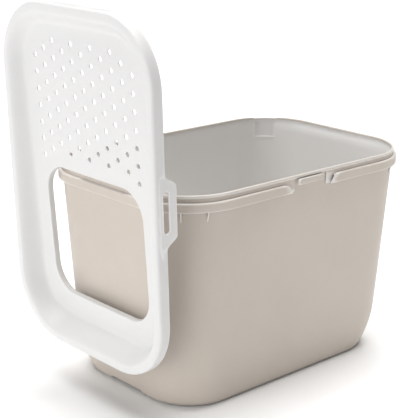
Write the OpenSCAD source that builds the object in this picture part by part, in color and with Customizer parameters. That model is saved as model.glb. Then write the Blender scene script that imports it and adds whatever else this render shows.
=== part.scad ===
// Top-entry cat litter box: a deep open tub and its perforated lid.
// The lid is off its closed place and hangs upright on the tub's short end.
// Frame: origin at the centre of the tub's base, on the floor. +X along the tub,
// away from the hung lid. +Z up. The near long side of the tub faces -Y.

/* [Footprint] */
// Length of the lid and of the tub's rim flange
box_length = 585; // [580:1:595]
// Width of the lid and of the tub's rim flange
box_width = 390; // [385:1:400]
// Radius of the lid's and the flange's corners, seen from above
corner_radius = 110; // [104:1:114]

/* [Tub] */
// Height of the rim above the floor
tub_height = 383; // [375:1:392]
// Length of the flat base, where it meets the floor
base_length = 487; // [478:1:494]
// Width of the flat base, where it meets the floor
base_width = 306; // [298:1:312]
// Radius of the flat base's corners, seen from above
base_corner_radius = 70; // [64:1:80]
// Height of the curved foot, below which the walls turn inwards
foot_height = 90; // [70:1:100]
// How far the curved foot turns inwards at the floor
foot_inset = 13.5; // [10:0.5:15]
// Wall thickness of the tub
tub_wall = 2.6; // [2.4:0.1:3]
// Width of the arch under each short end
arch_width = 90; // [70:2:100]
// Height of that arch
arch_height = 4; // [3:0.5:5]
// Depth of that arch, from the end inwards
arch_depth = 30; // [24:2:40]

/* [Rim] */
// How far the rim band stands inside the flange
band_inset = 6; // [5.5:0.5:6.5]
// Height of the rim band above the flange's ledge
ledge_drop = 12; // [11:0.5:13]
// Height of the flange below its ledge
flange_height = 15.5; // [14:0.5:17]
// Height of the gussets below the flange
gusset_drop = 14; // [10:1:18]

/* [Catch] */
// Length of the gap in the flange at ledge level
catch_gap_top = 125; // [123:1:134]
// Length of that gap at the flange's lower edge
catch_gap_bottom = 94; // [92:1:100]
// Length of the recess that holds the catch bar
recess_length = 77; // [74:1:80]
// Length of the catch bar
catch_length = 60; // [56:1:61]
// Height of the catch bar
catch_height = 10.3; // [9:0.1:10.5]
// Place of the catches along the long sides, from the tub's middle
catch_place = 3; // [0:0.5:3]

/* [Lid] */
// Depth of the lid's skirt, from its outer face
skirt_depth = 20; // [19:0.5:21]
// Wall thickness of the lid
lid_wall = 2.6; // [2.4:0.1:2.8]
// Radius of the lid's outer edge
edge_radius = 5; // [4:0.5:6]
// Width of the border round the dish
border_width = 12; // [10:1:14]
// Width of the sloping wall of the dish
dish_wall_width = 26; // [22:1:28]
// Depth of the dish at the lid's middle
dish_depth = 27; // [25:0.5:28]
// Slope of the dish's panel, deeper towards the entrance, in degrees
panel_slope = 2.3; // [2:0.1:2.4]
// Diameter of the perforations
hole_diameter = 8.5; // [7:0.5:10]
// Spacing of the perforation columns across the lid
hole_column_pitch = 25.1; // [24:0.1:25.5]
// Spacing of the perforations in one column
hole_row_pitch = 28.5; // [27.5:0.1:28.7]
// Place of the topmost perforations, from the lid's middle
hole_top = 229; // [226:1:230]

/* [Entrance] */
// Length of the cat's entrance, along the lid
entrance_length = 229; // [220:1:231]
// Width of the cat's entrance
entrance_width = 254; // [240:2:256]
// Radius of the entrance's corners
entrance_radius = 50; // [42:1:60]
// Place of the entrance's middle, from the lid's middle
entrance_place = 100; // [98:1:101]
// Depth of the collar round the entrance, from the panel
collar_depth = 11; // [9:0.5:12]

/* [Latch] */
// Length of a latch loop where it leaves the skirt
loop_root_length = 118; // [112:1:120]
// Length of a latch loop's outer edge
loop_edge_length = 78; // [76:1:82]
// How far a latch loop reaches past the skirt
loop_reach = 21; // [20:0.5:22]
// Length of the slot in a latch loop
slot_length = 66; // [65:1:68]
// Width of the slot in a latch loop
slot_width = 11.5; // [11:0.5:12]
// Gap that parts a latch loop from the skirt
loop_gap = 0.7; // [0.7:0.1:0.9]

/* [Hung lid] */
// Distance of the lid's outer face in front of the tub's flange
hang_offset = 46; // [45:0.5:48]
// Height of the hung lid's middle above the floor
hang_height = 374.4; // [374:0.1:376]
// Lean of the hung lid, its top away from the tub, in degrees
hang_lean = 2.3; // [2:0.1:2.5]
// Width of the tongue that hangs on the rim
tongue_width = 120; // [90:5:140]
// Gap between the tongue and the rim
hang_clearance = 0.4; // [0.3:0.1:0.6]

/* [Hidden] */
tub_colour = [0.72, 0.68, 0.62];
lid_colour = [0.92, 0.92, 0.93];
arc_steps = 10;
over = 1;
flange_x = box_length / 2;
flange_y = box_width / 2;
ledge_z = tub_height - ledge_drop;
flange_z = ledge_z - flange_height;
band_x = flange_x - band_inset;
band_y = flange_y - band_inset;
band_radius = corner_radius - band_inset;
wall_top_inset = 4;
wall_top_x = band_x - wall_top_inset;
wall_top_y = band_y - 1;
wall_top_radius = band_radius - 6;
base_x = base_length / 2;
base_y = base_width / 2;
rim_bead = 1.3;
rim_turn_height = 3;
gusset_angles = [44, 68];
gusset_thickness = 2;
gusset_toe = 3;
catch_top_z = ledge_z + 5;
catch_corner = 3;
catch_reach = 7.5;
catch_root = 3.4;
pad_depth = 5;
panel_x = flange_x - border_width - dish_wall_width;
panel_y = flange_y - border_width - dish_wall_width;
panel_radius = corner_radius - border_width - dish_wall_width;
panel_lap = 2;
rim_lap = 6;
hole_rows = 15;
hole_columns = 11;
slot_depth = skirt_depth + 0.25;
plate_skin = 0.05;
tongue_root = 3;
tongue_rise = 0.3;
lip_gap = 2;
lip_drop = 8;
foot_steps = 6;
wall_steps = 8;
edge_steps = 4;
shoulder_steps = 8;
loop_root_depth = 9;
panel_tilt = [0, -panel_slope, 0];
lid_pose = [0, -90 - hang_lean, 0];
lid_place = [-flange_x - hang_offset, 0, hang_height];

// Points of a rounded rectangle, from its half sizes and its corner radius.
function corner_points(x, y, r, cx, cy, start) =
    [for (i = [0 : arc_steps]) let (a = start + 90 * i / arc_steps)
        [cx * (x - r) + r * cos(a), cy * (y - r) + r * sin(a)]];
function outline(x, y, r) = concat(
    corner_points(x, y, r, 1, 1, 0),
    corner_points(x, y, r, -1, 1, 90),
    corner_points(x, y, r, -1, -1, 180),
    corner_points(x, y, r, 1, -1, 270));

// One level of a lofted body, from its half length, half width, corner radius and height.
function level(ring) = [for (p = outline(ring[0], ring[1], ring[2])) [p[0], p[1], ring[3]]];

// A body lofted through levels, one convex slice at a time.
module loft(rings) {
    for (i = [0 : len(rings) - 2]) {
        low = level(rings[i]);
        high = level(rings[i + 1]);
        count = len(low);
        hull()
            polyhedron(
                points = concat(low, high),
                faces = [[for (j = [0 : count - 1]) j], [for (j = [0 : count - 1]) 2 * count - 1 - j]]);
    }
}

// How far the curved foot turns inwards at a height.
function foot_turn(z) = foot_inset * pow(max(1 - z / foot_height, 0), 2);

// The drafted wall between the base and the rim, moved inwards by an inset.
function wall_ring(z, inset) =
    let (t = z / ledge_z, turn = foot_turn(z) + inset)
    [(base_x + foot_inset) * (1 - t) + wall_top_x * t - turn,
     (base_y + foot_inset) * (1 - t) + wall_top_y * t - turn,
     (base_corner_radius + foot_inset) * (1 - t) + wall_top_radius * t - turn,
     z];

// Levels of the wall, from a height up to another, close together in the curved foot.
function wall_levels(low, high, inset) = concat(
    [for (i = [0 : foot_steps]) wall_ring(low + (foot_height - low) * pow(i / foot_steps, 1.4), inset)],
    [wall_ring(high, inset)]);

module tub_outside() {
    loft(wall_levels(0, ledge_z, 0));
}

module tub_inside() {
    loft(concat(
        wall_levels(tub_wall, ledge_z - 1, tub_wall),
        [for (z = [ledge_z + rim_turn_height, tub_height + over])
            [band_x - tub_wall, band_y - tub_wall, band_radius - tub_wall, z]]));
}

module rim_band() {
    loft([
        [band_x - wall_top_inset, band_y - wall_top_inset, band_radius - wall_top_inset,
         ledge_z - rim_turn_height],
        [band_x, band_y, band_radius, ledge_z],
        [band_x, band_y, band_radius, tub_height - rim_bead],
        [band_x - rim_bead, band_y - rim_bead, band_radius - rim_bead, tub_height]]);
}

module flange() {
    difference() {
        loft([
            [flange_x, flange_y, corner_radius, flange_z],
            [flange_x, flange_y, corner_radius, ledge_z - 1],
            [flange_x - 1, flange_y - 1, corner_radius - 1, ledge_z]]);
        loft([
            [flange_x - tub_wall, flange_y - tub_wall, corner_radius - tub_wall, flange_z - over],
            [flange_x - tub_wall, flange_y - tub_wall, corner_radius - tub_wall, ledge_z - tub_wall]]);
    }
}

// Places what is at the middle of the near long side at both catches.
module at_catches() {
    for (my = [0, 1])
        mirror([0, my, 0])
            translate([catch_place, 0, 0])
                children();
}

// The gap in the flange that a latch loop closes into.
module catch_gap() {
    translate([0, -band_y, 0])
        rotate([90, 0, 0])
            linear_extrude(band_inset + over)
                polygon([
                    [-catch_gap_bottom / 2, flange_z - over],
                    [catch_gap_bottom / 2, flange_z - over],
                    [catch_gap_top / 2, ledge_z],
                    [catch_gap_top / 2, ledge_z + over],
                    [-catch_gap_top / 2, ledge_z + over],
                    [-catch_gap_top / 2, ledge_z]]);
}

// The two pads that carry the band's face down beside the recess.
module catch_pads() {
    pad_length = (catch_gap_top - recess_length) / 2;
    for (side = [-1, 1])
        translate([side * (recess_length + pad_length) / 2, -band_y + pad_depth / 2,
                   (flange_z + ledge_z) / 2])
            cube([pad_length, pad_depth, flange_height], center = true);
}

module catch_bar() {
    translate([0, -band_y + catch_root, catch_top_z - catch_height / 2])
        rotate([90, 0, 0])
            linear_extrude(catch_reach)
                offset(catch_corner, $fn = 24)
                    square([catch_length, catch_height] - 2 * [catch_corner, catch_corner],
                           center = true);
}

// A pair of gussets under the flange at one corner.
module corner_gussets() {
    for (a = gusset_angles)
        translate([band_x - band_radius, band_y - band_radius, 0])
            rotate([0, 0, a])
                translate([band_radius - wall_top_inset - gusset_thickness, 0, 0])
                    rotate([90, 0, 0])
                        linear_extrude(gusset_thickness, center = true)
                            polygon([
                                [0, flange_z - gusset_drop],
                                [gusset_toe, flange_z - gusset_drop],
                                [band_inset + wall_top_inset, flange_z],
                                [band_inset + wall_top_inset, ledge_z - 1],
                                [0, ledge_z - 1]]);
}

// The raised pockets in the base, open at the short ends.
module end_arches(grow) {
    for (side = [-1, 1])
        translate([side * base_x, 0, 0])
            cube([2 * (arch_depth + grow), arch_width + 2 * grow, 2 * (arch_height + grow)],
                 center = true);
}

module tub() {
    color(tub_colour) {
        difference() {
            union() {
                tub_outside();
                rim_band();
                difference() {
                    flange();
                    at_catches()
                        catch_gap();
                }
                at_catches()
                    catch_pads();
                for (mx = [0, 1], my = [0, 1])
                    mirror([mx, 0, 0])
                        mirror([0, my, 0])
                            corner_gussets();
            }
            difference() {
                tub_inside();
                end_arches(tub_wall);
            }
            end_arches(0);
        }
        at_catches()
            catch_bar();
    }
}

// Depth of the dish's panel below the outer face, at a place along the lid.
function panel_depth(x) = dish_depth - tan(panel_slope) * x;

// Share of the dish's depth reached at a share of its wall's width.
function ease(t) = (1 - cos(180 * t)) / 2;

// Steepness of the dish's wall at that share, for a panel of the given depth.
function wall_angle(t, depth) = atan(depth * sin(180 * t) * PI / 2 / dish_wall_width);

// Section of the lid's rim: [inset, share of the panel's depth, extra depth, thickness side].
function rim_section() = concat(
    [[0, 0, skirt_depth, 0]],
    [for (i = [0 : edge_steps]) let (a = 90 * i / edge_steps)
        [edge_radius * (1 - cos(a)), 0, edge_radius * (1 - sin(a)), 0]],
    [for (i = [0 : wall_steps]) let (t = i / wall_steps)
        [border_width + dish_wall_width * t, t, 0, 0]],
    [for (side = [0, 1]) [border_width + dish_wall_width + rim_lap, 1, 0, side]],
    [for (i = [wall_steps : -1 : 0]) let (t = i / wall_steps)
        [border_width + dish_wall_width * t - lid_wall * sin(wall_angle(t, dish_depth)), t, 0, 1]],
    [for (i = [edge_steps : -1 : 0]) let (a = 90 * i / edge_steps, r = edge_radius - lid_wall)
        [lid_wall + r * (1 - cos(a)), 0, lid_wall + r * (1 - sin(a)), 0]],
    [[lid_wall, 0, skirt_depth, 0]]);

// One closed line of points round the lid for one row of that section.
function rim_line(row) =
    [for (p = outline(flange_x - row[0], flange_y - row[0], corner_radius - row[0]))
        let (depth = panel_depth(p[0]))
        [p[0], p[1],
         -depth * ease(row[1]) - row[2] - row[3] * lid_wall * cos(wall_angle(row[1], depth))]];

// Skirt, border and dish wall: the section swept round the lid's outline.
module lid_rim() {
    lines = [for (row = rim_section()) rim_line(row)];
    rows = len(lines);
    count = len(lines[0]);
    polyhedron(
        points = [for (line = lines) each line],
        faces = [for (i = [0 : rows - 1], j = [0 : count - 1])
            let (n = (i + 1) % rows, m = (j + 1) % count)
            each [[i * count + j, n * count + m, i * count + m],
                  [i * count + j, n * count + j, n * count + m]]],
        convexity = 6);
}

// Moves its children onto the sloping panel, with z = 0 at the panel's outer face.
module on_panel() {
    translate([0, 0, -dish_depth])
        rotate(panel_tilt)
            children();
}

module entrance_shape(grow) {
    polygon(outline(
        entrance_length / 2 + grow, entrance_width / 2 + grow, entrance_radius + grow));
}

// A staggered grid, without its two top corners and without the middle of its lowest row.
module perforations() {
    last = hole_rows - 1;
    side = (hole_columns - 1) / 2;
    for (row = [0 : last], column = [-side : side]) {
        staggered = (row + column + 2 * side) % 2 == 1;
        top_corner = row == 0 && abs(column) == side;
        low_middle = row == last && abs(column) < side;
        if (staggered && !top_corner && !low_middle)
            translate([hole_top - row * hole_row_pitch / 2, column * hole_column_pitch, -lid_wall - over])
                cylinder(h = lid_wall + 2 * over, d = hole_diameter, $fn = 24);
    }
}

module lid_panel() {
    difference() {
        union() {
            translate([0, 0, -lid_wall + plate_skin])
                linear_extrude(lid_wall - 2 * plate_skin)
                    polygon(outline(panel_x - panel_lap, panel_y - panel_lap, panel_radius - panel_lap));
            translate([-entrance_place, 0, -collar_depth])
                linear_extrude(collar_depth - 2 * plate_skin)
                    entrance_shape(lid_wall);
        }
        translate([-entrance_place, 0, -collar_depth - over])
            linear_extrude(collar_depth + 2 * over)
                entrance_shape(0);
        perforations();
    }
}

// Places its children, drawn as the closed lid with its outer face at z = 0, as it hangs.
module hung() {
    translate(lid_place)
        rotate(lid_pose)
            children();
}

// The tongue above the entrance that hangs over the tub's rim.
module hanging_tongue() {
    root_s = entrance_length / 2 - entrance_place;
    root_depth = panel_depth(root_s);
    root_z = hang_height + root_s * cos(hang_lean) + root_depth * sin(hang_lean);
    root_x = -flange_x - hang_offset + root_depth + collar_depth - tongue_root;
    rest_z = tub_height + hang_clearance;
    lip_x = -band_x + tub_wall + lip_gap;
    translate([0, tongue_width / 2, 0])
        rotate([90, 0, 0])
            linear_extrude(tongue_width)
                polygon([
                    [root_x, root_z + lid_wall],
                    [root_x, root_z + tongue_rise],
                    [root_x + tongue_root, root_z + tongue_rise],
                    [-flange_x, rest_z],
                    [lip_x, rest_z],
                    [lip_x, tub_height - lip_drop],
                    [lip_x + lid_wall, tub_height - lip_drop],
                    [lip_x + lid_wall, rest_z + lid_wall],
                    [-flange_x, rest_z + lid_wall],
                    [root_x + tongue_root, root_z + lid_wall]]);
}

module loop_windows() {
    for (side = [-1, 1])
        translate([0, side * flange_y, -(loop_root_depth + skirt_depth) / 2])
            cube([loop_root_length + 2 * loop_gap, 3 * lid_wall,
                  skirt_depth - loop_root_depth + 2 * loop_gap], center = true);
}

module lid() {
    color(lid_colour) {
        hung() {
            difference() {
                lid_rim();
                loop_windows();
            }
            on_panel()
                lid_panel();
        }
        hanging_tongue();
    }
}

// Outline of a latch loop: a straight root, curved shoulders and a straight outer edge.
function loop_side(dir) =
    [for (i = [0 : shoulder_steps]) let (t = (dir > 0 ? i : shoulder_steps - i) / shoulder_steps)
        [dir * (loop_root_length / 2 - (loop_root_length - loop_edge_length) / 2 * t),
         -skirt_depth - loop_reach * ease(t)]];

module latch_loop(side) {
    shift = slot_length / 2 - slot_width / 2;
    color(lid_colour)
        hung()
            translate([0, side * (flange_y - lid_wall / 2) + lid_wall / 2, 0])
                rotate([90, 0, 0])
                    linear_extrude(lid_wall)
                        difference() {
                            polygon(concat(
                                [[loop_root_length / 2, -loop_root_depth]],
                                loop_side(1),
                                loop_side(-1),
                                [[-loop_root_length / 2, -loop_root_depth]]));
                            translate([0, -slot_depth])
                                square([2 * shift, slot_width], center = true);
                            for (end = [-1, 1])
                                translate([end * shift, -slot_depth])
                                    circle(d = slot_width, $fn = 32);
                        }
}

module near_latch_loop() {
    latch_loop(-1);
}

module far_latch_loop() {
    latch_loop(1);
}

tub();
lid();
near_latch_loop();
far_latch_loop();
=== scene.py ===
"""The looks of a top-entry cat litter box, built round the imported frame.

The lid hangs upright on the tub's short end. Lengths are metres, in the frame's own axes:
+X along the tub, away from the hung lid, +Y towards the far long side, +Z up.
"""

import math

import bmesh
import bpy
from mathutils import Matrix, Vector


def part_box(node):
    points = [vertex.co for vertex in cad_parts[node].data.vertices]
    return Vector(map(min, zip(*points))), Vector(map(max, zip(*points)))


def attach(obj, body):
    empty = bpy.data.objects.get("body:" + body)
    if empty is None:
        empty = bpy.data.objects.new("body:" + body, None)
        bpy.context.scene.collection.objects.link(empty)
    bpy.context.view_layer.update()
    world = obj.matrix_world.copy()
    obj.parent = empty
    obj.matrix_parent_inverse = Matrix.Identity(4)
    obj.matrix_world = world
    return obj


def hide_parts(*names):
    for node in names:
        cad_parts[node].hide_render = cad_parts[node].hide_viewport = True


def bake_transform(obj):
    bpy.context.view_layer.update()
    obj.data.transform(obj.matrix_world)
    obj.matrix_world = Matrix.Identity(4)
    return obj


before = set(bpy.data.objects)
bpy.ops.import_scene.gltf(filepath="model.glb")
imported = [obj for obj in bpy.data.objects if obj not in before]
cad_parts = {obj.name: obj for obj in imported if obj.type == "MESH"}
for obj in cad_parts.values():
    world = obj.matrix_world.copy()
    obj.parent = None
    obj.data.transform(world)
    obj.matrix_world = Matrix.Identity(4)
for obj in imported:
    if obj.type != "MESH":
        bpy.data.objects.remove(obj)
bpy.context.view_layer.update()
MM = 0.001
TUB_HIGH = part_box("tub")[1]

# Pieces are shaded smooth up to this angle between faces
SMOOTH_ANGLE = math.radians(50)

# Footprint and rim
FLANGE_X = TUB_HIGH.x
FLANGE_Y = TUB_HIGH.y
RIM_Z = TUB_HIGH.z
CORNER_RADIUS = 110 * MM
BAND_INSET = 6 * MM
BAND_X = FLANGE_X - BAND_INSET
BAND_Y = FLANGE_Y - BAND_INSET
BAND_RADIUS = CORNER_RADIUS - BAND_INSET
LEDGE_Z = RIM_Z - 12 * MM
FLANGE_Z = LEDGE_Z - 15.5 * MM
FLANGE_UPPER_EDGE = 2.2 * MM
FLANGE_LOWER_EDGE = 0.9 * MM
BEAD_HEIGHT = 4.4 * MM
BEAD_BULGE = 0.9 * MM
GUSSET_ANGLES = (44, 68)
GUSSET_DROP = 17 * MM
GUSSET_TOE = 3.6 * MM
GUSSET_LEAN = 3.6 * MM
GUSSET_REACH = 9.6 * MM
GUSSET_HALF = 0.9 * MM

# Tub walls. FOOT_ROUNDER is what the corner radius gains at the ground in the curved foot
TUB_WALL = 2.6 * MM
GROUND_X = 243.5 * MM
GROUND_Y = 153 * MM
GROUND_RADIUS = 70 * MM
FOOT_HEIGHT = 90 * MM
FOOT_INSET = 13.5 * MM
FOOT_ROUNDER = 16 * MM
GROUND_EDGE = 5 * MM
FLOOR_FILLET = 4 * MM
WALL_TOP_X = BAND_X - 4 * MM
WALL_TOP_Y = BAND_Y - 1 * MM
WALL_TOP_RADIUS = BAND_RADIUS - 6 * MM
ARCH_HALF_WIDTH = 45 * MM
ARCH_HEIGHT = 4 * MM
ARCH_DEPTH = 30 * MM

# Catches near the middle of the long sides
CATCH_PLACE = 3 * MM
GAP_TOP = 62.5 * MM
GAP_BOTTOM = 47 * MM
GAP_CORNER = 5 * MM
RECESS_HALF = 38.5 * MM
RECESS_TOP = RIM_Z - 5 * MM
RECESS_DEPTH = 1.6 * MM
RECESS_CORNER = 4 * MM
BAR_LENGTH = 60 * MM
BAR_HEIGHT = 10.3 * MM
BAR_TOP = LEDGE_Z + 5 * MM
BAR_FACE = BAND_Y + 4.1 * MM
BAR_ROOT = BAND_Y - 3 * MM
BAR_CORNER = 3 * MM
BAR_EDGE = 1.5 * MM

# Shallow notch in the far right corner, as angles round the corner from +X, in degrees
NOTCH_BEAD = (37.5, 64.0)
NOTCH_WALL = (39.5, 61.5)
NOTCH_SOFTNESS = 0.5
NOTCH_LOW = RIM_Z - 38.5 * MM
NOTCH_DEPTH = 1.6 * MM
NOTCH_DROP = 1.9 * MM
NOTCH_RIB = 1.2 * MM

# Lid, in its own frame: s along the lid, y across it, depth behind its outer face
LID_WALL = 2.6 * MM
SKIRT_DEPTH = 20 * MM
SKIRT_LIP = 0.8 * MM
EDGE_RADIUS = 5 * MM
BORDER_WIDTH = 12 * MM
DISH_WALL = 26 * MM
DISH_DEPTH = 27 * MM
DISH_STEPS = 20
PANEL_LAP = 3 * MM
PANEL_SLOPE = math.radians(2.3)
LID_LEAN = math.radians(2.3)
HANG_OFFSET = 46 * MM
HANG_HEIGHT = 374.4 * MM
LID_PLACE = Vector((-FLANGE_X - HANG_OFFSET, 0, HANG_HEIGHT))
LID_MATRIX = Matrix.Translation(LID_PLACE) @ Matrix.Rotation(-math.pi / 2 - LID_LEAN, 4, "Y")
HOLE_RADIUS = 4.25 * MM
HOLE_TOP = 229 * MM
HOLE_ROWS = 15
HOLE_COLUMNS = 11
HOLE_ROW_STEP = 28.5 / 2 * MM
HOLE_COLUMN_STEP = 25.1 * MM
ENTRANCE_HALF_LENGTH = 114.5 * MM
ENTRANCE_HALF_WIDTH = 127 * MM
ENTRANCE_RADIUS = 50 * MM
ENTRANCE_PLACE = -100 * MM
COLLAR_DEPTH = 11 * MM
MOUTH_RADIUS = 1.8 * MM

# Tongue that hangs the lid on the rim
TONGUE_HALF = 60 * MM
HANG_CLEARANCE = 0.4 * MM
TONGUE_LIP_GAP = 2 * MM
TONGUE_LIP_DROP = 8 * MM

# Latch loops
LOOP_ROOT_HALF = 59 * MM
LOOP_EDGE_HALF = 39 * MM
LOOP_REACH = 21 * MM
LOOP_ROOT_DEPTH = 9 * MM
SLOT_HALF = 33 * MM
SLOT_WIDTH = 11.5 * MM
SLOT_DEPTH = SKIRT_DEPTH + 0.25 * MM
LOOP_EDGE = 0.55 * MM


# ---------------------------------------------------------------- mesh helpers

def spread(start, stop, count):
    """count + 1 even steps from start to stop, both ends included."""
    return [start + (stop - start) * i / count for i in range(count + 1)]


def quarter(radius, steps):
    """(inset, rise) pairs round a quarter circle, from (0, radius) to (radius, 0)."""
    angles = spread(0, math.pi / 2, steps)
    return [(radius * (1 - math.cos(a)), radius * (1 - math.sin(a))) for a in angles]


def ease(t):
    """Half a cosine wave, from 0 at t = 0 to 1 at t = 1."""
    return (1 - math.cos(math.pi * t)) / 2


def smooth_step(t):
    """0 up to t = 0, 1 from t = 1, and a smooth rise between them."""
    t = min(max(t, 0.0), 1.0)
    return t * t * (3 - 2 * t)


def rounded_rectangle(half_x, half_y, radius, x_steps=12, y_steps=12, arc=14, middle=()):
    """Points round a rounded rectangle, anticlockwise from the +X side's lower end.
    arc is a number of steps or a list of angles. The sides along X also take the places
    in middle, from the smallest to the largest."""
    cx, cy = half_x - radius, half_y - radius
    along_x, along_y = spread(-cx, cx, x_steps), spread(-cy, cy, y_steps)
    if middle:
        half = x_steps // 2
        along_x = spread(-cx, middle[0], half)[:-1] + list(middle) + spread(middle[-1], cx, half)[1:]
    arc_angles = spread(0, 90, arc)[1:-1] if isinstance(arc, int) else arc
    corners = [(cx, cy, 0), (-cx, cy, 90), (-cx, -cy, 180), (cx, -cy, 270)]
    sides = [
        [(half_x, y) for y in along_y],
        [(x, half_y) for x in reversed(along_x)],
        [(-half_x, y) for y in reversed(along_y)],
        [(x, -half_y) for x in along_x],
    ]
    points = []
    for line, (ox, oy, turn) in zip(sides, corners):
        points += line
        for a in arc_angles:
            angle = math.radians(turn + a)
            points.append((ox + radius * math.cos(angle), oy + radius * math.sin(angle)))
    return points


def add_ring(bm, points):
    """New vertices at the points, in their order."""
    return [bm.verts.new(p) for p in points]


def join_rings(bm, rings, closed=True):
    """Quads between neighbouring rings of equal length."""
    for low, high in zip(rings, rings[1:]):
        count = len(low)
        for i in range(count if closed else count - 1):
            j = (i + 1) % count
            bm.faces.new((low[i], low[j], high[j], high[i]))


def ring_edges(bm, ring):
    """The closed ring's edges, made where they are missing."""
    edges = []
    for a, b in zip(ring, ring[1:] + ring[:1]):
        edge = bm.edges.get((a, b))
        edges.append(edge if edge else bm.edges.new((a, b)))
    return edges


def fill_between(bm, outer, holes=()):
    """A flat face with holes, as triangles that share the rings' own points."""
    edges = ring_edges(bm, outer)
    for hole in holes:
        edges += ring_edges(bm, hole)
    bmesh.ops.triangle_fill(bm, use_beauty=True, edges=edges)


def make_object(bm, name, material, body=None, matrix=None):
    """Turns the bmesh into a smooth shaded piece, which rides on a body if one is given."""
    if matrix is not None:
        bmesh.ops.transform(bm, matrix=matrix, verts=bm.verts)
    bmesh.ops.recalc_face_normals(bm, faces=bm.faces)
    mesh = bpy.data.meshes.new(name)
    bm.to_mesh(mesh)
    bm.free()
    mesh.polygons.foreach_set("use_smooth", [True] * len(mesh.polygons))
    mesh.set_sharp_from_angle(angle=SMOOTH_ANGLE)
    mesh.materials.append(material)
    piece = bpy.data.objects.new(name, mesh)
    bpy.context.scene.collection.objects.link(piece)
    if body:
        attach(piece, body)
    return piece


def extrude_outline(bm, outline, low, high, place, bevel):
    """A prism from a flat outline with bevelled edges.
    place(u, v, w) gives the point of (u, v) at w, which is low or high."""
    front = add_ring(bm, [place(u, v, low) for u, v in outline])
    back = add_ring(bm, [place(u, v, high) for u, v in outline])
    join_rings(bm, [front, back])
    bm.faces.new(front)
    bm.faces.new(back)
    edges = ring_edges(bm, front) + ring_edges(bm, back)
    edges += [bm.edges.get(pair) for pair in zip(front, back)]
    sharp = [e for e in edges if e.calc_face_angle(0) > math.radians(25)]
    bmesh.ops.bevel(bm, geom=sharp, offset=bevel, segments=2, affect="EDGES", clamp_overlap=True)


# ---------------------------------------------------------------- materials

def noise(nodes, links, coordinates, scale, detail=3.0, roughness=0.5):
    """A noise texture's value, between 0 and 1."""
    node = nodes.new("ShaderNodeTexNoise")
    node.inputs["Scale"].default_value = scale
    node.inputs["Detail"].default_value = detail
    node.inputs["Roughness"].default_value = roughness
    links.new(coordinates, node.inputs["Vector"])
    return node.outputs["Fac"]


def ramp(nodes, links, value, stops):
    """A colour ramp from (place, colour) stops."""
    node = nodes.new("ShaderNodeValToRGB")
    node.color_ramp.interpolation = "EASE"
    for element, (place, colour) in zip(node.color_ramp.elements, (stops[0], stops[-1])):
        element.position = place
        element.color = (*colour, 1)
    for place, colour in stops[1:-1]:
        element = node.color_ramp.elements.new(place)
        element.color = (*colour, 1)
    links.new(value, node.inputs["Fac"])
    return node.outputs["Color"]


def mix_colours(nodes, links, share, first, second, blend_type="MIX"):
    """Two colours mixed by a share. Each value is a plain one or another node's output."""
    node = nodes.new("ShaderNodeMix")
    node.data_type = "RGBA"
    node.blend_type = blend_type
    for value, name in ((share, "Factor"), (first, "A"), (second, "B")):
        socket = node.inputs[name]
        if isinstance(value, bpy.types.NodeSocket):
            links.new(value, socket)
        else:
            socket.default_value = value
    return node.outputs["Result"]


def add_bump(nodes, links, height, distance, strength, under=None):
    """A bump's normal, on top of another normal if one is given."""
    node = nodes.new("ShaderNodeBump")
    node.inputs["Distance"].default_value = distance
    node.inputs["Strength"].default_value = strength
    links.new(height, node.inputs["Height"])
    if under:
        links.new(under, node.inputs["Normal"])
    return node.outputs["Normal"]


def inner_share(nodes, links, coordinates):
    """1 on walls that face the tub's middle, 0 on the outside and on level faces."""
    normal = nodes.new("ShaderNodeNewGeometry").outputs["Normal"]
    flat = nodes.new("ShaderNodeVectorMath")
    flat.operation = "MULTIPLY"
    flat.inputs[1].default_value = (1, 1, 0)
    links.new(coordinates, flat.inputs[0])
    facing = nodes.new("ShaderNodeVectorMath")
    facing.operation = "DOT_PRODUCT"
    links.new(flat.outputs["Vector"], facing.inputs[0])
    links.new(normal, facing.inputs[1])
    share = nodes.new("ShaderNodeMapRange")
    share.inputs["From Min"].default_value = -0.01
    share.inputs["From Max"].default_value = -0.06
    links.new(facing.outputs["Value"], share.inputs["Value"])
    height = nodes.new("ShaderNodeSeparateXYZ")
    links.new(coordinates, height.inputs["Vector"])
    below_bead = nodes.new("ShaderNodeMapRange")
    below_bead.inputs["From Min"].default_value = RIM_Z - BEAD_HEIGHT + 0.8 * MM
    below_bead.inputs["From Max"].default_value = RIM_Z - BEAD_HEIGHT - 0.4 * MM
    links.new(height.outputs["Z"], below_bead.inputs["Value"])
    both = nodes.new("ShaderNodeMath")
    both.operation = "MULTIPLY"
    links.new(share.outputs["Result"], both.inputs[0])
    links.new(below_bead.outputs["Result"], both.inputs[1])
    return both.outputs["Value"]


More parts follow.
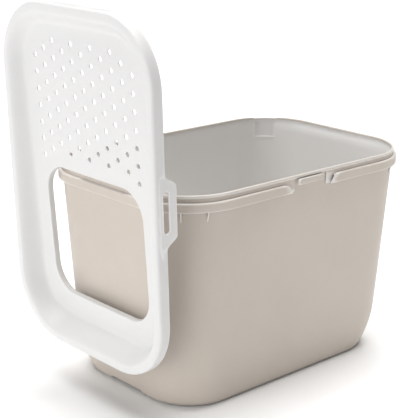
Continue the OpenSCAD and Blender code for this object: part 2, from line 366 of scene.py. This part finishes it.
def plastic_colour(nodes, links, coordinates, colour, tint, edge_highlight, shade, inside):
    """Cloudy and finely speckled colour, with a painted highlight on sharp edges, painted shade in
    creases, and painted light on the inner walls if inside is given.
    """
    clouds = noise(nodes, links, coordinates, 7.0, 4.0, 0.55)
    darker = tuple(c * (1 - tint) for c in colour)
    paler = tuple(min(c * (1 + tint), 1.0) for c in colour)
    base = ramp(nodes, links, clouds, [(0.32, darker), (0.68, paler)])
    specks = noise(nodes, links, coordinates, 260.0, 2.0, 0.6)
    speck_colour = ramp(nodes, links, specks, [(0.3, (0.988, 0.986, 0.984)), (0.62, (1.0, 1.0, 1.0))])
    base = mix_colours(nodes, links, 1.0, base, speck_colour, "MULTIPLY")
    # Painted light: walls that face the tub's middle take the paler, greyer inside colour, standing
    # in for the cool light inside the tub.
    if inside:
        base = mix_colours(nodes, links, inner_share(nodes, links, coordinates), base, inside)
    # Painted highlight: sharp edges turn paler, standing in for the light that they catch.
    edges = nodes.new("ShaderNodeNewGeometry").outputs["Pointiness"]
    highlight_share = ramp(nodes, links, edges, [(0.507, (0, 0, 0)), (0.55, (edge_highlight, edge_highlight, edge_highlight))])
    highlight_colour = tuple(c + (1 - c) * 0.6 for c in colour)
    base = mix_colours(nodes, links, highlight_share, base, (*highlight_colour, 1))
    # Painted shade: ambient occlusion darkens creases, recesses and the space under the flange, down
    # to shade of the colour.
    crease = nodes.new("ShaderNodeAmbientOcclusion")
    crease.samples = 8
    crease.inputs["Distance"].default_value = 14 * MM
    painted_crease_shade = ramp(nodes, links, crease.outputs["AO"], [(0.25, (shade,) * 3), (0.75, (1.0,) * 3)])
    return mix_colours(nodes, links, 1.0, base, painted_crease_shade, "MULTIPLY")


def plastic_gloss(nodes, links, coordinates, roughness):
    """Roughness that varies in soft smears."""
    smears = noise(nodes, links, coordinates, 38.0, 5.0, 0.6)
    dull, sleek = roughness + 0.06, roughness - 0.05
    return ramp(nodes, links, smears, [(0.35, (sleek,) * 3), (0.65, (dull,) * 3)])


def plastic_grain(nodes, links, coordinates, grain):
    """Normal of a slightly wavy moulding with a fine spark grain."""
    fine = noise(nodes, links, coordinates, 1900.0, 2.0, 0.5)
    waves = noise(nodes, links, coordinates, 22.0, 2.0, 0.4)
    normal = add_bump(nodes, links, waves, 0.6 * MM, 0.06)
    return add_bump(nodes, links, fine, 0.05 * MM, grain, normal)


def moulded_plastic(name, colour, roughness, grain, tint, edge_highlight, shade, inside=None):
    """Injection-moulded polypropylene: colour cloudy by tint, fine spark grain, a painted highlight
    on sharp edges as strong as edge_highlight, and painted shade in creases, down to shade of the
    colour.
    inside is a paler, greyer colour painted on the walls that face the tub's middle, for the cool
    light inside the tub."""
    material = bpy.data.materials.new(name)
    material.use_nodes = True
    nodes, links = material.node_tree.nodes, material.node_tree.links
    shader = nodes["Principled BSDF"]
    coordinates = nodes.new("ShaderNodeTexCoord").outputs["Object"]
    base = plastic_colour(nodes, links, coordinates, colour, tint, edge_highlight, shade, inside)
    links.new(base, shader.inputs["Base Color"])
    links.new(plastic_gloss(nodes, links, coordinates, roughness), shader.inputs["Roughness"])
    links.new(plastic_grain(nodes, links, coordinates, grain), shader.inputs["Normal"])
    shader.inputs["IOR"].default_value = 1.49
    shader.inputs["Specular IOR Level"].default_value = 0.45
    return material


def floor_material():
    """Pale floor with painted shade: it gets greyer a little way out from the box on the camera's
    side, as an unlit floor would, so that less light bounces onto the box's near side.
    """
    material = bpy.data.materials.new("pale_floor")
    material.use_nodes = True
    nodes, links = material.node_tree.nodes, material.node_tree.links
    shader = nodes["Principled BSDF"]
    coordinates = nodes.new("ShaderNodeTexCoord").outputs["Object"]
    clouds = noise(nodes, links, coordinates, 1.5)
    colour = ramp(nodes, links, clouds, [(0.3, (0.93, 0.93, 0.93)), (0.7, (0.95, 0.95, 0.95))])
    # Painted shade: the floor turns grey towards the camera's side, from 0.4 m to 1.6 m out.
    along = nodes.new("ShaderNodeVectorMath")
    along.operation = "DOT_PRODUCT"
    along.inputs[1].default_value = (-0.7, -0.72, 0.0)
    links.new(coordinates, along.inputs[0])
    painted_floor_shade = nodes.new("ShaderNodeMapRange")
    painted_floor_shade.interpolation_type = "SMOOTHSTEP"
    painted_floor_shade.inputs["From Min"].default_value = 0.4
    painted_floor_shade.inputs["From Max"].default_value = 1.6
    links.new(along.outputs["Value"], painted_floor_shade.inputs["Value"])
    colour = mix_colours(nodes, links, painted_floor_shade.outputs["Result"], colour, (0.5, 0.5, 0.5, 1))
    links.new(colour, shader.inputs["Base Color"])
    shader.inputs["Roughness"].default_value = 0.9
    shader.inputs["Specular IOR Level"].default_value = 0.1
    return material


TUB_PLASTIC = moulded_plastic(
    "tub_plastic_taupe", (0.59, 0.528, 0.468), 0.46, 0.2, tint=0.015, edge_highlight=0.95, shade=0.62,
    inside=(0.8, 0.792, 0.78, 1))
LID_PLASTIC = moulded_plastic(
    "lid_plastic_white", (0.745, 0.742, 0.738), 0.4, 0.12, tint=0.006, edge_highlight=0.6, shade=0.8)


# ---------------------------------------------------------------- tub

def wall_size(z, inset=0.0):
    """Half length, half width and corner radius of the tub's wall at a height, moved inwards
    by an inset."""
    share = z / LEDGE_Z
    turn = FOOT_INSET * max(1 - z / FOOT_HEIGHT, 0) ** 2 + inset
    pairs = ((GROUND_X, WALL_TOP_X), (GROUND_Y, WALL_TOP_Y), (GROUND_RADIUS, WALL_TOP_RADIUS))
    half_x, half_y, radius = [
        (low + FOOT_INSET) * (1 - share) + high * share - turn for low, high in pairs]
    return [half_x, half_y, radius + FOOT_ROUNDER * max(1 - z / FOOT_HEIGHT, 0) ** 3]


def band_size(inset):
    """The same three for the rim's upright band, moved inwards by an inset."""
    return [BAND_X - inset, BAND_Y - inset, BAND_RADIUS - inset]


# Places along the long sides that follow the recess's ends, from its round corners outwards
RECESS_STOPS = (4.0, 3.2, 2.2, 1.2, 0.5, 0.0, -0.3)
CATCH_STOPS = sorted(CATCH_PLACE + x for x in (
    [0.0, GAP_TOP, -GAP_TOP, 0.5 * RECESS_HALF, -0.5 * RECESS_HALF]
    + [sign * (RECESS_HALF - step * MM) for sign in (-1, 1) for step in RECESS_STOPS]))
# Angles round each corner: every 5 degrees, and closer together at the notch's ends
CORNER_STOPS = sorted(
    [5.0 * i for i in range(1, 18) if 5 * i not in (40, 60)]
    + [angle + step * NOTCH_SOFTNESS for angle in NOTCH_BEAD + NOTCH_WALL for step in (-1, 0, 1)])


def tub_ring(size, z):
    """One level of the tub, with the stops for its catches and its notch."""
    outline = rounded_rectangle(*size, x_steps=10, y_steps=28, arc=CORNER_STOPS, middle=CATCH_STOPS)
    return [Vector((x, y, z)) for x, y in outline]


def arch_lift(p, grow=0.0):
    """How far the low arch in each short end raises the base at a point."""
    side = smooth_step((ARCH_HALF_WIDTH + grow - abs(p.y)) / (5 * MM))
    end = smooth_step((abs(p.x) - (GROUND_X - ARCH_DEPTH - grow)) / (4 * MM))
    return ARCH_HEIGHT * side * end


def catch_face(p, is_outer):
    """Shapes the wall round a catch: the band's face runs down on both sides of a recess."""
    reach = abs(p.x - CATCH_PLACE)
    if not is_outer or abs(p.y) < WALL_TOP_Y - 4 * MM or p.z < FLANGE_Z - 0.1 * MM:
        return p
    side = math.copysign(1, p.y)
    if RECESS_HALF < reach <= GAP_TOP + 0.01 * MM:
        return Vector((p.x, side * max(abs(p.y), BAND_Y), p.z))
    if reach <= RECESS_HALF and p.z < RECESS_TOP:
        corner = max(reach - (RECESS_HALF - RECESS_CORNER), 0)
        top = RECESS_TOP - RECESS_CORNER + math.sqrt(max(RECESS_CORNER ** 2 - corner ** 2, 0))
        share = smooth_step((top - p.z) / (0.5 * MM))
        deep = min(abs(p.y), BAND_Y - RECESS_DEPTH)
        return Vector((p.x, side * (abs(p.y) * (1 - share) + deep * share), p.z))
    return p


def notch_share(p, angles):
    """1 between two angles of the far right corner, 0 outside them."""
    dx, dy = p.x - (BAND_X - BAND_RADIUS), p.y - (BAND_Y - BAND_RADIUS)
    if dx <= 0 or dy <= 0:
        return 0.0
    angle = math.degrees(math.atan2(dy, dx))
    span = 2 * NOTCH_SOFTNESS
    start, stop = angles[0] - NOTCH_SOFTNESS, angles[1] + NOTCH_SOFTNESS
    return smooth_step((angle - start) / span) * smooth_step((stop - angle) / span)


def outer_rings():
    """Levels of the tub's outside, from the ground edge to the rim's bead."""
    rings = [tub_ring(wall_size(z, inset), z) for inset, z in quarter(GROUND_EDGE, 6)[::-1]]
    heights = [GROUND_EDGE + (FOOT_HEIGHT - GROUND_EDGE) * (i / 14) ** 1.3 for i in range(1, 15)]
    heights += spread(FOOT_HEIGHT, FLANGE_Z - 0.4 * MM, 10)[1:]
    heights += [FLANGE_Z + 0.2 * MM]
    heights += spread(FLANGE_Z + 0.2 * MM, LEDGE_Z - 0.6 * MM, 5)[1:]
    rings += [tub_ring(wall_size(z), z) for z in heights]
    steps = spread(LEDGE_Z + 0.2 * MM, RECESS_TOP + 0.4 * MM, 14)
    rings += [tub_ring(band_size(0), z) for z in steps]
    return rings


def bead_rings():
    """The rounded bead along the rim, from its outer foot over to the inner wall."""
    low = RIM_Z - BEAD_HEIGHT
    half = TUB_WALL / 2 + BEAD_BULGE
    profile = [(0, low - 0.6 * MM), (-0.15 * MM, low - 0.1 * MM), (-BEAD_BULGE, low + 0.7 * MM)]
    for a in spread(0, math.pi, 10):
        profile.append((half - BEAD_BULGE - half * math.cos(a), RIM_Z - half + half * math.sin(a)))
    profile += [(TUB_WALL + BEAD_BULGE, low + 0.7 * MM), (TUB_WALL + 0.15 * MM, low - 0.1 * MM)]
    profile += [(TUB_WALL, low - 0.6 * MM), (TUB_WALL, low - 2 * MM)]
    return [tub_ring(band_size(inset), z) for inset, z in profile]


def inner_rings():
    """Levels of the tub's inside, from the rim down to the floor's edge. The fillet's own
    levels run upwards, against the others, so the sheet folds back on itself there."""
    rings = [tub_ring(band_size(TUB_WALL), LEDGE_Z + 3 * MM)]
    heights = [LEDGE_Z - 1 * MM, FLANGE_Z]
    heights += [NOTCH_LOW + step * MM for step in (1.8, 1.2, 0.6, 0.0, -0.6, -1.2, -2.4, -3.6, -8)]
    heights += spread(NOTCH_LOW - 16 * MM, FOOT_HEIGHT, 8)
    curve = FOOT_HEIGHT - FLOOR_FILLET
    heights += [TUB_WALL + FLOOR_FILLET + curve * (1 - i / 10) ** 1.3 for i in range(1, 11)]
    rings += [tub_ring(wall_size(z, TUB_WALL), z) for z in heights]
    for inset, lift in quarter(FLOOR_FILLET, 4)[::-1][1:]:
        rings.append(tub_ring(wall_size(TUB_WALL + lift, TUB_WALL + inset), TUB_WALL + lift))
    return rings


def floor_rings(z, inset, grow):
    """Rings on the base's upper or lower face, inwards past the arches."""
    steps = [inset + step * MM for step in (3, 8, 16, 24, 30, 33, 36 + grow / MM, 42)]
    return [tub_ring(wall_size(z, step), z) for step in steps]


def shape_tub(rings, is_outer, grow):
    """Presses the catches' recesses, the arches and the bead's gap at the notch into rings.
    Arches are grown where they are seen from inside the tub."""
    for ring in rings:
        for i, p in enumerate(ring):
            p = catch_face(p, is_outer)
            lift = arch_lift(p, grow) * max(1 - p.z / (26 * MM), 0)
            dip = notch_share(p, NOTCH_BEAD) * max(p.z - (RIM_Z - NOTCH_DROP), 0)
            ring[i] = Vector((p.x, p.y, p.z + lift - dip))


def carve_notch(rings):
    """Presses the notch's shallow recess into the inner wall."""
    for ring in rings:
        for i, p in enumerate(ring):
            share = notch_share(p, NOTCH_WALL)
            above = smooth_step((p.z - NOTCH_LOW) / (2.4 * MM) + 0.5)
            rib = smooth_step(1 - abs(p.z - NOTCH_LOW + 1.2 * MM) / (2.4 * MM))
            if share:
                centre = Vector((BAND_X - BAND_RADIUS, BAND_Y - BAND_RADIUS, p.z))
                out = share * (above * NOTCH_DEPTH - rib * NOTCH_RIB)
                ring[i] = p + (p - centre).normalized() * out


def tub_body(bm):
    """The tub's one closed wall: underside, outside, bead, inside and floor."""
    under = floor_rings(0.0, GROUND_EDGE, 0.0)[::-1]
    outside = outer_rings()
    bead = bead_rings()
    inside = inner_rings()
    carve_notch(inside)
    floor = floor_rings(TUB_WALL, TUB_WALL + FLOOR_FILLET, TUB_WALL)
    for rings in (under, bead):
        shape_tub(rings, False, 0.0)
    shape_tub(outside, True, 0.0)
    for rings in (inside, floor):
        shape_tub(rings, False, TUB_WALL)
    rings = [add_ring(bm, ring) for ring in under + outside + bead + inside + floor]
    join_rings(bm, rings)
    bm.faces.new(rings[0])
    bm.faces.new(rings[-1])


def gap_edge(z):
    """Half length of the flange's gap at a height, with a rounded upper corner."""
    share = (z - FLANGE_Z) / (LEDGE_Z - FLANGE_Z)
    edge = GAP_BOTTOM + (GAP_TOP - GAP_CORNER - GAP_BOTTOM) * share
    rise = max(z - (LEDGE_Z - GAP_CORNER), 0) / GAP_CORNER
    return edge + GAP_CORNER * (1 - math.sqrt(max(1 - rise * rise, 0)))


def flange_section():
    """(inset, z) round the flange: ledge, face, lower lip and the hollow behind it."""
    root = BAND_INSET + 0.5 * MM
    rows = [(root, LEDGE_Z)]
    rows += [(inset, LEDGE_Z - drop) for inset, drop in quarter(FLANGE_UPPER_EDGE, 6)[::-1]]
    rows += [(0, LEDGE_Z - drop * MM) for drop in (2.8, 3.6, 4.4, 5.2, 8, 12)]
    rows += [(inset, FLANGE_Z + lift) for inset, lift in quarter(FLANGE_LOWER_EDGE, 3)]
    rows += [(TUB_WALL - 0.4 * MM, FLANGE_Z), (TUB_WALL, FLANGE_Z + 0.4 * MM)]
    rows += [(TUB_WALL, LEDGE_Z - 4 * MM), (TUB_WALL + 1 * MM, LEDGE_Z - TUB_WALL)]
    rows += [(root, LEDGE_Z - TUB_WALL)]
    return rows


def flange_path(inset, z, side):
    """Half of the flange's way round one end, from the near catch to the far one."""
    x, y, radius = FLANGE_X - inset, FLANGE_Y - inset, CORNER_RADIUS - inset
    cx, cy = x - radius, y - radius
    near = [(a, -y) for a in spread(gap_edge(z) + side * CATCH_PLACE, cx, 10)]
    angles = spread(0, math.pi / 2, 18)
    corner = [(cx + radius * math.sin(a), -cy - radius * math.cos(a)) for a in angles]
    end = [(x, b) for b in spread(-cy, cy, 12)]
    half = near + corner[1:-1] + end
    mirrored = [(a, -b) for a, b in (near + corner[1:-1])[::-1]]
    return [Vector((side * a, b, z)) for a, b in half + mirrored]


def flange_half(bm, side):
    """The flange round one short end, closed and bevelled at both gaps."""
    lines = [add_ring(bm, flange_path(inset, z, side)) for inset, z in flange_section()]
    join_rings(bm, lines + [lines[0]], closed=False)
    for index in (0, -1):
        cap = [line[index] for line in lines]
        bm.faces.new(cap)
        edges = [e for e in ring_edges(bm, cap) if e.calc_face_angle(0) > math.radians(30)]
        bmesh.ops.bevel(
            bm, geom=edges, offset=FLANGE_LOWER_EDGE, segments=3, affect="EDGES", clamp_overlap=True)


def corner_gussets(bm, mx, my):
    """Two thin gussets under the flange at one corner. Their inner edge leans out with the
    wall, so that it stays buried in it."""
    start = BAND_RADIUS - 6.5 * MM
    low, high = FLANGE_Z - GUSSET_DROP, LEDGE_Z - 2 * MM
    outline = [
        (0, low), (GUSSET_TOE, low), (GUSSET_REACH, FLANGE_Z - 1.2 * MM),
        (GUSSET_REACH, high), (GUSSET_LEAN, high)]
    for degrees in GUSSET_ANGLES:
        angle = math.radians(degrees)
        out = Vector((math.cos(angle), math.sin(angle), 0))
        across = Vector((-math.sin(angle), math.cos(angle), 0))
        centre = Vector((BAND_X - BAND_RADIUS, BAND_Y - BAND_RADIUS, 0))

        def place(u, v, w):
            p = centre + out * (start + u) + across * w
            return Vector((mx * p.x, my * p.y, v))

        extrude_outline(bm, outline, -GUSSET_HALF, GUSSET_HALF, place, bevel=0.3 * MM)


def catch_bar(bm, side):
    """The rounded bar that a latch loop snaps over."""
    half_x, half_z = BAR_LENGTH / 2, BAR_HEIGHT / 2
    outline = rounded_rectangle(half_x, half_z, BAR_CORNER, x_steps=6, y_steps=2, arc=6)
    rows = [(0.0, BAR_ROOT)]
    rows += [(inset, BAR_FACE - rise) for inset, rise in quarter(BAR_EDGE, 4)]
    rings = []
    for inset, y in rows:
        shrink_x, shrink_z = 1 - inset / half_x, 1 - inset / half_z
        rings.append(add_ring(bm, [
            Vector((CATCH_PLACE + u * shrink_x, side * y, BAR_TOP - half_z + v * shrink_z))
            for u, v in outline]))
    join_rings(bm, rings)
    bm.faces.new(rings[0])
    bm.faces.new(rings[-1])


def build_tub():
    """The tub's wall, flange, gussets and catch bars, as one moulding."""
    bm = bmesh.new()
    tub_body(bm)
    for side in (1, -1):
        flange_half(bm, side)
        catch_bar(bm, side)
    for mx in (1, -1):
        for my in (1, -1):
            corner_gussets(bm, mx, my)
    piece = make_object(bm, "tub_moulding", TUB_PLASTIC, "tub")
    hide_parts("tub")


# ---------------------------------------------------------------- lid

def panel_depth(s):
    """Depth of the sloping panel below the border, at a place along the lid."""
    return DISH_DEPTH - math.tan(PANEL_SLOPE) * s


def wall_slope(share, depth=DISH_DEPTH):
    """Steepness of the dish's wall at a share of its width, for a panel of a depth."""
    return math.atan(depth * math.sin(math.pi * share) * math.pi / 2 / DISH_WALL)


def lid_ring(inset, share=0.0, extra=0.0, behind=0.0):
    """One line round the lid: share of the dish's depth, extra depth, and thickness behind."""
    outline = rounded_rectangle(
        FLANGE_X - inset, FLANGE_Y - inset, CORNER_RADIUS - inset, x_steps=24, y_steps=16, arc=20)
    ring = []
    for s, y in outline:
        depth = panel_depth(s)
        thickness = behind * math.cos(wall_slope(share, depth))
        ring.append(Vector((s, y, -depth * ease(share) - extra - thickness)))
    return ring


def lid_front():
    """Rings of the lid's outer skin, from the skirt's lower edge to the panel."""
    lip = quarter(SKIRT_LIP, 3)
    rings = [lid_ring(LID_WALL - inset, extra=SKIRT_DEPTH - rise) for inset, rise in lip]
    rings += [lid_ring(inset, extra=SKIRT_DEPTH - rise) for inset, rise in lip[::-1]]
    rings += [lid_ring(0, extra=depth * MM) for depth in (14, 9)]
    rings += [lid_ring(inset, extra=depth) for inset, depth in quarter(EDGE_RADIUS, 8)]
    rings += [lid_ring(inset * MM) for inset in (6.5, 9.5)]
    rings += [lid_ring(BORDER_WIDTH + DISH_WALL * t, t) for t in spread(0, 1, DISH_STEPS)]
    rings.append(lid_ring(BORDER_WIDTH + DISH_WALL + PANEL_LAP, 1))
    return rings


def lid_back():
    """Rings of the lid's inner skin, from the panel back to the skirt."""
    rings = [lid_ring(BORDER_WIDTH + DISH_WALL + PANEL_LAP, 1, behind=LID_WALL)]
    for t in spread(1, 0, DISH_STEPS):
        inset = BORDER_WIDTH + DISH_WALL * t - LID_WALL * math.sin(wall_slope(t))
        rings.append(lid_ring(inset, t, behind=LID_WALL))
    inner = EDGE_RADIUS - LID_WALL
    for inset, depth in quarter(inner, 4)[::-1]:
        rings.append(lid_ring(LID_WALL + inset, extra=LID_WALL + depth))
    rings += [lid_ring(LID_WALL, extra=depth * MM) for depth in (9, 14)]
    return rings


def on_panel(s, y, up=0.0):
    """A point on the sloping panel, up above its outer face."""
    cos, sin = math.cos(PANEL_SLOPE), math.sin(PANEL_SLOPE)
    return Vector((s * cos - up * sin, y, -DISH_DEPTH + s * sin + up * cos))


def entrance_ring(grow, up):
    """A line round the entrance, grown sideways and raised above the panel's outer face."""
    outline = rounded_rectangle(
        ENTRANCE_HALF_LENGTH + grow, ENTRANCE_HALF_WIDTH + grow, ENTRANCE_RADIUS + grow,
        x_steps=10, y_steps=10, arc=16)
    return [on_panel(ENTRANCE_PLACE + s, y, up) for s, y in outline]


def add_entrance(bm):
    """The entrance's rounded mouth and its collar. Returns its rings on both faces."""
    mouth, end = MOUTH_RADIUS, 0.7 * MM
    profile = [(mouth + 1.5 * MM, 0)]
    profile += [(grow, -drop) for drop, grow in quarter(mouth, 5)]
    profile += [(0, -0.6 * COLLAR_DEPTH)]
    profile += [(inset, rise - COLLAR_DEPTH) for inset, rise in quarter(end, 3)]
    profile += [(LID_WALL - inset, rise - COLLAR_DEPTH) for inset, rise in quarter(end, 3)[::-1]]
    profile += [(LID_WALL, -LID_WALL - 1 * MM), (LID_WALL + 1 * MM, -LID_WALL)]
    profile += [(LID_WALL + 2.5 * MM, -LID_WALL)]
    rings = [add_ring(bm, entrance_ring(grow, up)) for grow, up in profile]
    join_rings(bm, rings)
    return rings[0], rings[-1]


def hole_places():
    """The staggered grid, without its top corners and without its lowest row's middle."""
    last, side = HOLE_ROWS - 1, HOLE_COLUMNS // 2
    for row in range(last + 1):
        for column in range(-side, side + 1):
            staggered = (row + column + 2 * side) % 2 == 1
            top_corner = row == 0 and abs(column) == side
            low_middle = row == last and abs(column) < side
            if staggered and not top_corner and not low_middle:
                yield HOLE_TOP - row * HOLE_ROW_STEP, column * HOLE_COLUMN_STEP


def add_hole(bm, s, y):
    """One perforation with a countersunk mouth. Returns its rings on both faces."""
    mouth, end = 1.0 * MM, 0.4 * MM
    profile = [(mouth + 0.7 * MM, 0)]
    profile += [(grow, -drop) for drop, grow in quarter(mouth, 3)]
    profile += [(0, -LID_WALL + end), (end, -LID_WALL), (end + 0.6 * MM, -LID_WALL)]
    angles = spread(0, 2 * math.pi, 24)[:-1]
    rings = []
    for grow, up in profile:
        radius = HOLE_RADIUS + grow
        rings.append(add_ring(bm, [
            on_panel(s + radius * math.cos(a), y + radius * math.sin(a), up) for a in angles]))
    join_rings(bm, rings)
    return rings[0], rings[-1]


def cut_boxes(piece, boxes):
    """Cuts boxes, given by their lid-frame corners, out of a piece."""
    bm = bmesh.new()
    for low, high in boxes:
        size, centre = high - low, (low + high) / 2
        bmesh.ops.create_cube(
            bm, size=1, matrix=Matrix.Translation(centre) @ Matrix.Diagonal((*size, 1)))
    bmesh.ops.transform(bm, matrix=LID_MATRIX, verts=bm.verts)
    mesh = bpy.data.meshes.new("cutter")
    bm.to_mesh(mesh)
    bm.free()
    cutter = bpy.data.objects.new("cutter", mesh)
    bpy.context.scene.collection.objects.link(cutter)
    modifier = piece.modifiers.new("cut", "BOOLEAN")
    modifier.operation = "DIFFERENCE"
    modifier.solver = "EXACT"
    modifier.object = cutter
    graph = bpy.context.evaluated_depsgraph_get()
    cut = bpy.data.meshes.new_from_object(piece.evaluated_get(graph))
    piece.modifiers.clear()
    old, name = piece.data, piece.data.name
    piece.data = cut
    bpy.data.meshes.remove(old)
    cut.name = name
    bpy.data.objects.remove(cutter)
    bpy.data.meshes.remove(mesh)
    cut.set_sharp_from_angle(angle=SMOOTH_ANGLE)


def add_tongue(bm):
    """The hidden tongue above the entrance that hangs over the tub's rim, in the world frame."""
    root_s = ENTRANCE_HALF_LENGTH + ENTRANCE_PLACE
    root_depth = panel_depth(root_s)
    root_z = LID_PLACE.z + root_s * math.cos(LID_LEAN) + root_depth * math.sin(LID_LEAN)
    root_x = LID_PLACE.x + root_depth + COLLAR_DEPTH
    rest_z = RIM_Z + HANG_CLEARANCE
    lip_x = -BAND_X + TUB_WALL + TONGUE_LIP_GAP
    lip_z = RIM_Z - TONGUE_LIP_DROP
    outline = [
        (root_x - 3 * MM, root_z + LID_WALL), (root_x - 3 * MM, root_z + 0.3 * MM),
        (root_x, root_z + 0.3 * MM), (-FLANGE_X, rest_z), (lip_x, rest_z), (lip_x, lip_z),
        (lip_x + LID_WALL, lip_z), (lip_x + LID_WALL, rest_z + LID_WALL),
        (-FLANGE_X, rest_z + LID_WALL), (root_x, root_z + LID_WALL)]
    extrude_outline(
        bm, outline, -TONGUE_HALF, TONGUE_HALF, lambda u, v, w: Vector((u, w, v)), bevel=0.5 * MM)


def build_lid():
    """The lid's moulding, without the skirt's windows for the loops, and its tongue."""
    bm = bmesh.new()
    front = [add_ring(bm, ring) for ring in lid_front()]
    back = [add_ring(bm, ring) for ring in lid_back()]
    join_rings(bm, front)
    join_rings(bm, back + [front[0]])
    mouths = [add_entrance(bm)] + [add_hole(bm, s, y) for s, y in hole_places()]
    fill_between(bm, front[-1], [face for face, _ in mouths])
    fill_between(bm, back[0], [face for _, face in mouths])
    bmesh.ops.transform(bm, matrix=LID_MATRIX, verts=bm.verts)
    piece = make_object(bm, "lid_moulding", LID_PLASTIC, "lid")
    boxes = []
    for side in (-1, 1):
        ys = sorted((side * (FLANGE_Y - LID_WALL - 1 * MM), side * (FLANGE_Y + 1 * MM)))
        boxes.append((Vector((-LOOP_ROOT_HALF, ys[0], -SKIRT_DEPTH - 1 * MM)),
                      Vector((LOOP_ROOT_HALF, ys[1], -LOOP_ROOT_DEPTH))))
    cut_boxes(piece, boxes)
    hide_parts("lid")
    tongue = bmesh.new()
    add_tongue(tongue)
    make_object(tongue, "lid_tongue", LID_PLASTIC, "lid")


# ---------------------------------------------------------------- latch loops

def loop_outline():
    """(s, depth) round a latch loop, from its root over both shoulders."""
    root = [(LOOP_ROOT_HALF * k, LOOP_ROOT_DEPTH) for k in spread(-1, 1, 12)]
    shoulder = [(LOOP_ROOT_HALF, depth * MM) for depth in (11, 13, 15, 17, 18.8)]
    for t in spread(0, 1, 16):
        s = LOOP_ROOT_HALF - (LOOP_ROOT_HALF - LOOP_EDGE_HALF) * t
        shoulder.append((s, SKIRT_DEPTH + LOOP_REACH * ease(t)))
    edge = [(LOOP_EDGE_HALF * k, SKIRT_DEPTH + LOOP_REACH) for k in spread(1, -1, 8)[1:-1]]
    return root + shoulder + edge + [(-s, depth) for s, depth in shoulder[::-1]]


def inset_outline(points, distance):
    """Moves each point inwards along its normal, except where the loop joins the skirt."""
    moved = []
    count = len(points)
    for i, (s, depth) in enumerate(points):
        before, after = points[i - 1], points[(i + 1) % count]
        along = Vector((after[0] - before[0], after[1] - before[1])).normalized()
        free = smooth_step((depth - SKIRT_DEPTH) / (1.5 * MM))
        moved.append((s - along.y * distance * free, depth + along.x * distance * free))
    return moved


def slot_outline(grow):
    """(s, depth) round the slot, whose ends are nearly half circles."""
    outline = rounded_rectangle(
        SLOT_HALF + grow, SLOT_WIDTH / 2 + grow, SLOT_WIDTH / 2 + grow - 0.3 * MM,
        x_steps=8, y_steps=1, arc=8)
    return [(s, SLOT_DEPTH + d) for s, d in outline]


def build_loop(side, node):
    """A slotted latch loop that bends out of the skirt when it is pulled."""
    bm = bmesh.new()

    def place(points, rise):
        """rise is measured outwards from the skirt's outer face."""
        return [Vector((s, side * (FLANGE_Y + rise), -depth)) for s, depth in points]

    base = loop_outline()
    edge, soft = LOOP_EDGE, 0.15 * MM
    rim_rows = [(edge, 0.0), (soft, -soft), (0.0, -edge), (0.0, edge - LID_WALL),
                (soft, soft - LID_WALL), (edge, -LID_WALL)]
    rim = [add_ring(bm, place(inset_outline(base, inset), rise)) for inset, rise in rim_rows]
    join_rings(bm, rim)
    slot_rows = [(2.6, 0.0), (2.2, 0.05), (1.7, 0.45), (1.1, 0.6), (0.5, 0.45), (0.1, 0.0),
                 (0.0, -0.5), (0.0, -2.1), (0.15, -2.45), (0.5, -2.6)]
    slot = [add_ring(bm, place(slot_outline(grow * MM), rise * MM)) for grow, rise in slot_rows]
    join_rings(bm, slot)
    fill_between(bm, rim[0], [slot[0]])
    fill_between(bm, rim[-1], [slot[-1]])
    # Cuts across the root, so that it can bend
    for depth in (9.6, 10.5, 11.4, 12.3, 13.2, 14.2):
        geometry = bm.verts[:] + bm.edges[:] + bm.faces[:]
        bmesh.ops.bisect_plane(bm, geom=geometry, plane_co=(0, 0, -depth * MM), plane_no=(0, 0, 1))
    piece = make_object(bm, node + "_moulding", LID_PLASTIC, matrix=LID_MATRIX)
    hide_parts(node)
    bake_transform(piece)


# ---------------------------------------------------------------- stage, light and camera

def build_floor():
    """A wide round floor, a hair below the tub's base."""
    bm = bmesh.new()
    angles = spread(0, 2 * math.pi, 64)[:-1]
    rings = []
    for radius in (0.4, 1.0, 3.0, 12.0, 60.0):
        rings.append(add_ring(bm, [
            Vector((radius * math.cos(a), radius * math.sin(a), -0.3 * MM)) for a in angles]))
    join_rings(bm, rings)
    bm.faces.new(rings[0])
    floor = make_object(bm, "floor", floor_material())


def add_sun(name, direction, strength, angle, colour=(1, 1, 1)):
    """A soft light that shines along a direction, from a disc that spans an angle."""
    data = bpy.data.lights.new(name, "SUN")
    data.energy = strength
    data.angle = math.radians(angle)
    data.color = colour
    light = bpy.data.objects.new(name, data)
    light.rotation_mode = "QUATERNION"
    light.rotation_quaternion = Vector(direction).to_track_quat("-Z", "Y")
    bpy.context.scene.collection.objects.link(light)


def build_light():
    """Soft studio light: a key from above, a fill from the lid's side, a faint warm one
    from the right, and a dim surround."""
    world = bpy.data.worlds.new("studio")
    world.use_nodes = True
    background = world.node_tree.nodes["Background"]
    background.inputs["Color"].default_value = (1.0, 1.0, 1.0, 1)
    background.inputs["Strength"].default_value = 0.08
    bpy.context.scene.world = world
    add_sun("top", (-0.12, -0.18, -1.0), 4.0, 60)
    add_sun("left", (1.0, 0.15, -0.3), 1.68, 50)
    add_sun("right", (-0.7, 0.4, -0.45), 0.36, 50, (1.0, 0.95, 0.88))


def build_camera():
    """Stands in front of the near left corner and looks down along the tub."""
    yaw, pitch, roll = math.radians(47.93), math.radians(16.81), math.radians(0.44)
    data = bpy.data.cameras.new("camera")
    data.sensor_width = 36
    data.lens = 101.03
    data.clip_end = 200
    camera = bpy.data.objects.new("camera", data)
    level = math.cos(pitch)
    forward = Vector((math.cos(yaw) * level, math.sin(yaw) * level, -math.sin(pitch)))
    turn = forward.to_track_quat("-Z", "Y").to_matrix() @ Matrix.Rotation(roll, 3, "Z")
    camera.matrix_world = Matrix.Translation((-1.4036, -1.4718, 0.8890)) @ turn.to_4x4()
    bpy.context.scene.collection.objects.link(camera)
    bpy.context.scene.camera = camera


build_tub()
build_lid()
build_loop(-1, "near_latch_loop")
build_loop(1, "far_latch_loop")
build_floor()
build_light()
build_camera()
bpy.context.scene.view_settings.view_transform = "Standard"
